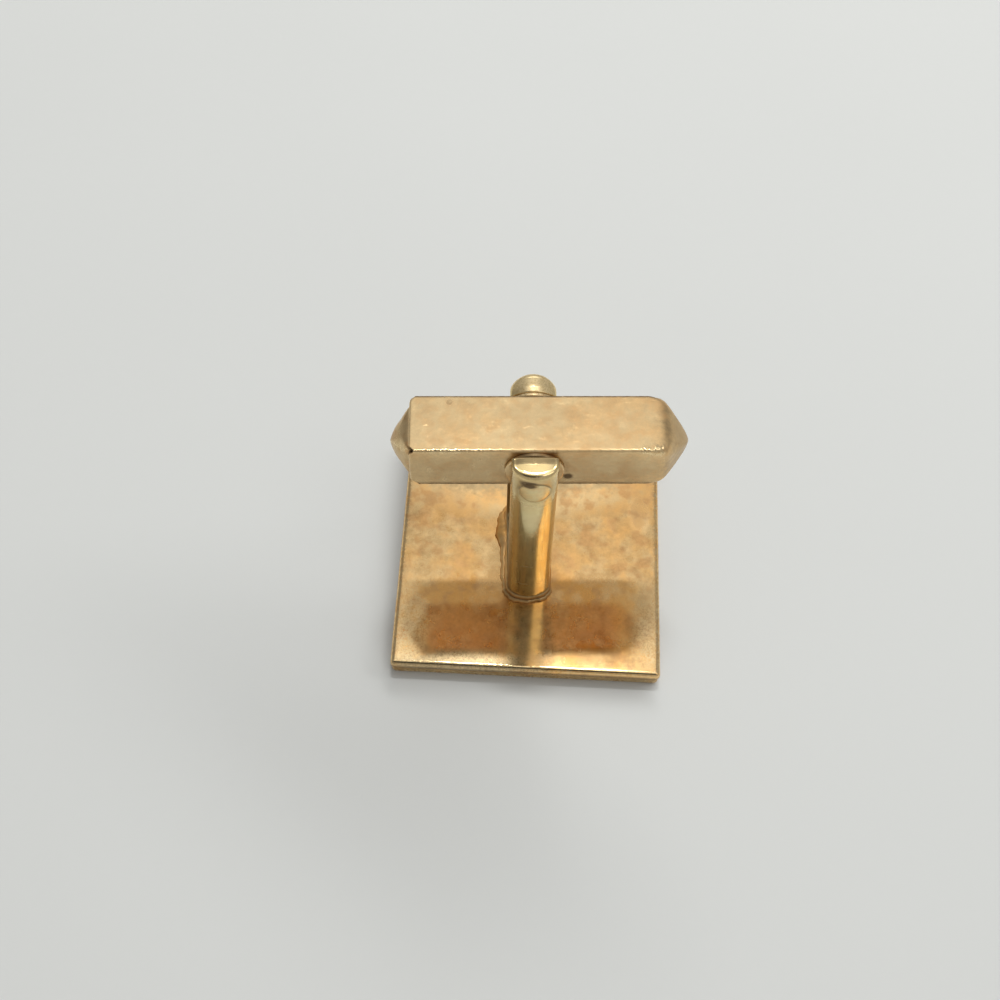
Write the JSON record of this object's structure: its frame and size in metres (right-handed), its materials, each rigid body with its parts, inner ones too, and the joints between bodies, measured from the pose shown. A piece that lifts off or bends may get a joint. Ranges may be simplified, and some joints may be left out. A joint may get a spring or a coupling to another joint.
{
  "type": "cufflink",
  "caption": "Swivel-bar cufflink with a flat square face, a forked post and a square pointed toggle bar that snaps across the post to hold a shirt cuff.",
  "frame": {"origin": "on the front face that the cufflink lies on, under the middle of the post", "axes": "+Z away from the front face along the post, +X along the toggle bar at rest towards its nose, +Y along the pivot pin"},
  "size_m": [0.019, 0.019, 0.0173],
  "materials": {
    "front_gold": "satin gold plating with a polished bevel",
    "plate_gold": "aged gold plating, glossy with rosy tarnish and pinhole specks",
    "post_gold": "polished gold plating with brown tarnish in the corners",
    "solder": "plated solder, uneven and tarnished",
    "pivot_gold": "gold plating, worn and grimy",
    "bar_gold": "pale gold plating, softly mottled, worn bright along the edges",
    "spring_steel": "bare spring steel strip"
  },
  "bodies": {
    "post": {"face_panel": "front_gold", "back_plate": "plate_gold", "post_yoke": "post_gold", "solder_bead": "solder", "pivot_pin": "pivot_gold"},
    "toggle": {"toggle_shell": "bar_gold", "end_plug": "bar_gold", "snap_spring": "spring_steel", "near_washer": "pivot_gold", "far_washer": "pivot_gold"}
  },
  "joints": [
    {"name": "toggle_swivel", "type": "hinge", "parent": "post", "child": "toggle", "pos_m": [0, 0, 0.01547], "axis": [0, 1, 0], "continuous": true, "deforming": ["snap_spring"]}
  ]
}
